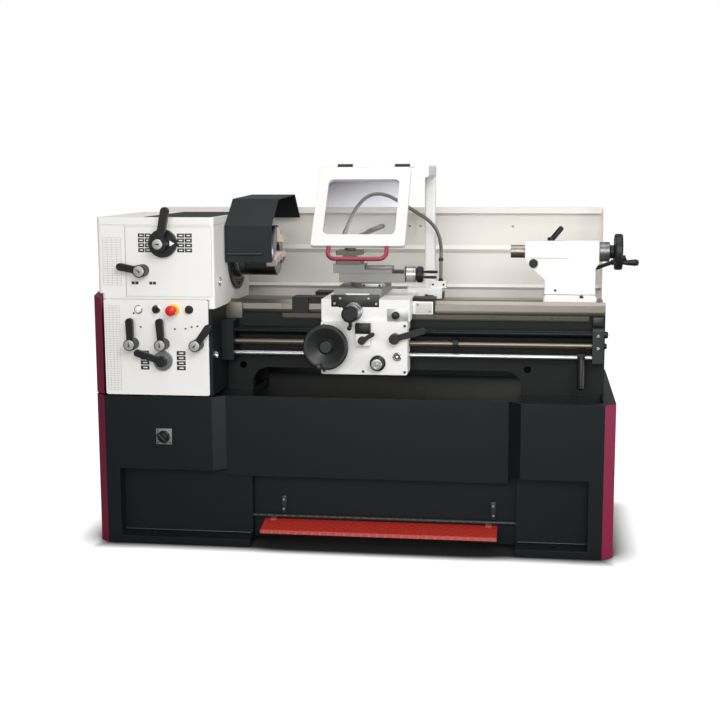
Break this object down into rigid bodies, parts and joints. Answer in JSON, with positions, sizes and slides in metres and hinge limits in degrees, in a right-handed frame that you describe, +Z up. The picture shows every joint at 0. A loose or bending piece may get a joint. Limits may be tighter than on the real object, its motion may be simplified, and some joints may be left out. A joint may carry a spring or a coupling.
{
  "type": "engine lathe",
  "caption": "Gap-bed engine lathe on a cabinet stand: jawed chuck under a guard, carriage with cross and top slides, tool post, shield, tailstock and foot brake.",
  "frame": {"origin": "on the floor, at the middle of the anchor holes, straight under the spindle axis", "axes": "X along the bed from headstock to tailstock, Y away from the operator, Z up"},
  "size_m": [2.076, 0.973, 1.462],
  "materials": {
    "graphite_paint": "satin textured paint",
    "burgundy_paint": "satin paint",
    "white_paint": "satin paint",
    "black_paint": "satin paint",
    "red_paint": "satin paint",
    "bed_iron": "dark paint with ground ways",
    "grey_iron": "machined",
    "bright_steel": "turned and ground",
    "dark_steel": "black oxide",
    "chrome_plate": "polished",
    "black_plastic": "moulded",
    "red_plastic": "moulded",
    "black_rubber": "ribbed mat",
    "clear_plastic": "clear sheet"
  },
  "bodies": {
    "frame": {"left_cabinet": "graphite_paint", "right_cabinet": "graphite_paint", "chip_tray": "graphite_paint", "end_claddings": "burgundy_paint", "splash_guard": "white_paint", "bed": "bed_iron", "rack": "bright_steel", "headstock": "white_paint", "top_mat": "black_rubber", "gearbox": "graphite_paint", "gearbox_panel": "white_paint", "end_cover": "burgundy_paint", "bearing_cover": "black_paint", "tail_bracket": "graphite_paint"},
    "spindle": {"spindle": "bright_steel", "chuck": "bright_steel"},
    "carriage": {"saddle": "white_paint", "apron": "white_paint", "shield_post": "white_paint", "coolant_pipe": "chrome_plate"},
    "shield": {"shield_frame": "white_paint", "shield_window": "clear_plastic", "shield_handle": "burgundy_paint"},
    "tailstock": {"tailstock_base": "white_paint", "tailstock": "white_paint"},
    "compound": {"compound_base": "grey_iron"},
    "treadle": {"treadle": "red_paint"},
    "main_switch": {"main_switch": "black_plastic"},
    "jaw_1": {"jaw_1": "bright_steel"},
    "jaw_2": {"jaw_2": "bright_steel"},
    "jaw_3": {"jaw_3": "bright_steel"},
    "chuck_guard": {"chuck_guard": "graphite_paint"},
    "speed_lever": {"speed_lever": "black_plastic"},
    "range_lever": {"range_lever": "black_plastic"},
    "feed_lever_a": {"feed_lever_a": "black_plastic"},
    "feed_lever_b": {"feed_lever_b": "black_plastic"},
    "feed_lever_c": {"feed_lever_c": "black_plastic"},
    "feed_dial": {"feed_dial": "black_plastic"},
    "emergency_stop": {"emergency_stop": "red_plastic"},
    "start_button": {"start_button": "black_plastic"},
    "mode_selector": {"mode_selector": "black_plastic"},
    "lead_screw": {"lead_screw": "dark_steel"},
    "feed_rod": {"feed_rod": "bright_steel"},
    "control_rod": {"control_rod": "bright_steel"},
    "carriage_handwheel": {"carriage_handwheel": "black_plastic"},
    "half_nut_lever": {"half_nut_lever": "black_plastic"},
    "apron_lever": {"apron_lever": "black_plastic"},
    "apron_knob": {"apron_knob": "bright_steel"},
    "saddle_knob": {"saddle_knob": "black_plastic"},
    "cross_slide": {"cross_slide": "graphite_paint"},
    "cross_handwheel": {"cross_handwheel": "bright_steel"},
    "top_slide": {"top_slide": "grey_iron"},
    "top_slide_handwheel": {"top_slide_handwheel": "bright_steel"},
    "tool_post": {"tool_post": "bright_steel"},
    "tool_post_lever": {"tool_post_lever": "bright_steel"},
    "coolant_tap": {"coolant_tap": "black_plastic"},
    "quill": {"quill": "bright_steel"},
    "tailstock_handwheel": {"tailstock_handwheel": "black_plastic"},
    "quill_lever": {"quill_lever": "black_plastic"},
    "tailstock_clamp": {"tailstock_clamp": "black_plastic"}
  },
  "joints": [
    {"name": "spindle_turn", "type": "hinge", "parent": "frame", "child": "spindle", "pos_m": [-0.45, 0, 1.122], "axis": [1, 0, 0], "continuous": true},
    {"name": "jaw_1_slide", "type": "slide", "parent": "spindle", "child": "jaw_1", "axis": [0, 0, 1], "range_m": [-0.022, 0.018]},
    {"name": "jaw_2_slide", "type": "slide", "parent": "spindle", "child": "jaw_2", "axis": [0, -0.866, -0.5], "range_m": [-0.022, 0.018]},
    {"name": "jaw_3_slide", "type": "slide", "parent": "spindle", "child": "jaw_3", "axis": [0, 0.866, -0.5], "range_m": [-0.022, 0.018]},
    {"name": "chuck_guard_swing", "type": "hinge", "parent": "frame", "child": "chuck_guard", "pos_m": [-0.48, 0.175, 1.24], "axis": [1, 0, 0], "range_deg": [-85, 0]},
    {"name": "speed_lever_turn", "type": "hinge", "parent": "frame", "child": "speed_lever", "pos_m": [-0.703, -0.365, 1.169], "axis": [0, 1, 0], "range_deg": [-90, 90]},
    {"name": "range_lever_turn", "type": "hinge", "parent": "frame", "child": "range_lever", "pos_m": [-0.786, -0.365, 1.066], "axis": [0, 1, 0], "range_deg": [0, 60]},
    {"name": "feed_lever_a_turn", "type": "hinge", "parent": "frame", "child": "feed_lever_a", "pos_m": [-0.827, -0.379, 0.788], "axis": [0, 1, 0], "range_deg": [-20, 20]},
    {"name": "feed_lever_b_turn", "type": "hinge", "parent": "frame", "child": "feed_lever_b", "pos_m": [-0.707, -0.379, 0.788], "axis": [0, 1, 0], "range_deg": [-20, 20]},
    {"name": "feed_lever_c_turn", "type": "hinge", "parent": "frame", "child": "feed_lever_c", "pos_m": [-0.573, -0.379, 0.788], "axis": [0, 1, 0], "range_deg": [-40, 20]},
    {"name": "feed_dial_turn", "type": "hinge", "parent": "frame", "child": "feed_dial", "pos_m": [-0.711, -0.379, 0.723], "axis": [0, 1, 0], "range_deg": [-90, 0]},
    {"name": "emergency_stop_press", "type": "slide", "parent": "frame", "child": "emergency_stop", "axis": [0, 1, 0], "range_m": [0, 0.006], "stiffness_N_per_m": 800},
    {"name": "start_button_press", "type": "slide", "parent": "frame", "child": "start_button", "axis": [0, 1, 0], "range_m": [0, 0.004], "stiffness_N_per_m": 500},
    {"name": "mode_selector_turn", "type": "hinge", "parent": "frame", "child": "mode_selector", "pos_m": [-0.735, -0.379, 0.919], "axis": [0, 1, 0], "range_deg": [-45, 45]},
    {"name": "main_switch_turn", "type": "hinge", "parent": "frame", "child": "main_switch", "pos_m": [-0.716, -0.383, 0.428], "axis": [0, 1, 0], "range_deg": [0, 90]},
    {"name": "treadle_press", "type": "hinge", "parent": "frame", "child": "treadle", "pos_m": [0.12, -0.296, 0.106], "axis": [1, 0, 0], "range_deg": [0, 12], "stiffness_Nm_per_rad": 12, "springref_deg": -14.32},
    {"name": "lead_screw_turn", "type": "hinge", "parent": "frame", "child": "lead_screw", "pos_m": [0.2, -0.185, 0.82], "axis": [1, 0, 0], "continuous": true},
    {"name": "feed_rod_turn", "type": "hinge", "parent": "frame", "child": "feed_rod", "pos_m": [0.2, -0.185, 0.777], "axis": [1, 0, 0], "continuous": true},
    {"name": "control_rod_turn", "type": "hinge", "parent": "frame", "child": "control_rod", "pos_m": [0.2, -0.185, 0.731], "axis": [1, 0, 0], "range_deg": [-15, 15]},
    {"name": "carriage_handwheel_turn", "type": "hinge", "parent": "carriage", "child": "carriage_handwheel", "pos_m": [-0.0935, -0.25, 0.776], "axis": [0, 1, 0], "range_deg": [-2718, 2898]},
    {"name": "carriage_slide", "type": "slide", "parent": "frame", "child": "carriage", "axis": [1, 0, 0], "range_m": [-0.15, 0.16]},
    {"name": "cross_handwheel_turn", "type": "hinge", "parent": "carriage", "child": "cross_handwheel", "pos_m": [0.004, -0.235, 0.906], "axis": [0, 1, 0], "range_deg": [-3636, 4356]},
    {"name": "cross_slide_move", "type": "slide", "parent": "carriage", "child": "cross_slide", "axis": [0, 1, 0], "range_m": [-0.05, 0.06]},
    {"name": "compound_swivel", "type": "hinge", "parent": "cross_slide", "child": "compound", "pos_m": [0.04, -0.02, 0.985], "axis": [0, 0, 1], "range_deg": [-60, 5]},
    {"name": "top_slide_handwheel_turn", "type": "hinge", "parent": "compound", "child": "top_slide_handwheel", "pos_m": [0.181, -0.02, 1.03], "axis": [1, 0, 0], "range_deg": [-4095, 4545]},
    {"name": "top_slide_move", "type": "slide", "parent": "compound", "child": "top_slide", "axis": [1, 0, 0], "range_m": [-0.05, 0.045]},
    {"name": "tool_post_turn", "type": "hinge", "parent": "top_slide", "child": "tool_post", "pos_m": [-0.042, -0.02, 1.08], "axis": [0, 0, 1], "range_deg": [-90, 90]},
    {"name": "tool_post_lever_turn", "type": "hinge", "parent": "top_slide", "child": "tool_post_lever", "pos_m": [-0.042, -0.02, 1.13], "axis": [0, 0, 1], "range_deg": [0, 60]},
    {"name": "half_nut_lever_turn", "type": "hinge", "parent": "carriage", "child": "half_nut_lever", "pos_m": [0.042, -0.28, 0.8], "axis": [0, 1, 0], "range_deg": [-45, 0]},
    {"name": "apron_lever_turn", "type": "hinge", "parent": "carriage", "child": "apron_lever", "pos_m": [0.163, -0.25, 0.805], "axis": [0, 1, 0], "range_deg": [-20, 20]},
    {"name": "apron_knob_turn", "type": "hinge", "parent": "carriage", "child": "apron_knob", "pos_m": [0.097, -0.25, 0.708], "axis": [0, 1, 0], "range_deg": [-90, 90]},
    {"name": "saddle_knob_turn", "type": "hinge", "parent": "carriage", "child": "saddle_knob", "pos_m": [0.164, -0.235, 0.891], "axis": [0, 1, 0], "range_deg": [-90, 90]},
    {"name": "shield_swing", "type": "hinge", "parent": "carriage", "child": "shield", "pos_m": [0.046, -0.198, 1.452], "axis": [1, 0, 0], "range_deg": [-145, 0]},
    {"name": "coolant_tap_turn", "type": "hinge", "parent": "carriage", "child": "coolant_tap", "pos_m": [0.2545, 0.077, 0.936], "axis": [0, 1, 0], "range_deg": [0, 90]},
    {"name": "tailstock_slide", "type": "slide", "parent": "frame", "child": "tailstock", "axis": [1, 0, 0], "range_m": [-0.3, 0.03]},
    {"name": "tailstock_handwheel_turn", "type": "hinge", "parent": "tailstock", "child": "tailstock_handwheel", "pos_m": [0.931, 0, 1.122], "axis": [1, 0, 0], "range_deg": [-7236, 1476]},
    {"name": "quill_slide", "type": "slide", "parent": "tailstock", "child": "quill", "axis": [1, 0, 0], "range_m": [-0.1, 0.02]},
    {"name": "quill_lever_turn", "type": "hinge", "parent": "tailstock", "child": "quill_lever", "pos_m": [0.747, 0, 1.165], "axis": [0, 0, 1], "range_deg": [-60, 60]},
    {"name": "tailstock_clamp_turn", "type": "hinge", "parent": "tailstock", "child": "tailstock_clamp", "pos_m": [0.905, 0.058, 1.045], "axis": [0, 1, 0], "range_deg": [-50, 0]}
  ],
  "couplings": [
    {"joint": "jaw_2_slide", "follows": "jaw_1_slide", "ratio": 1},
    {"joint": "jaw_3_slide", "follows": "jaw_1_slide", "ratio": 1},
    {"joint": "feed_rod_turn", "follows": "spindle_turn", "ratio": 0.2},
    {"joint": "carriage_handwheel_turn", "follows": "carriage_slide", "rad_per_m": 314.16},
    {"joint": "cross_handwheel_turn", "follows": "cross_slide_move", "rad_per_m": 1256.6},
    {"joint": "top_slide_handwheel_turn", "follows": "top_slide_move", "rad_per_m": -1570.8},
    {"joint": "tailstock_handwheel_turn", "follows": "quill_slide", "rad_per_m": 1256.6}
  ]
}
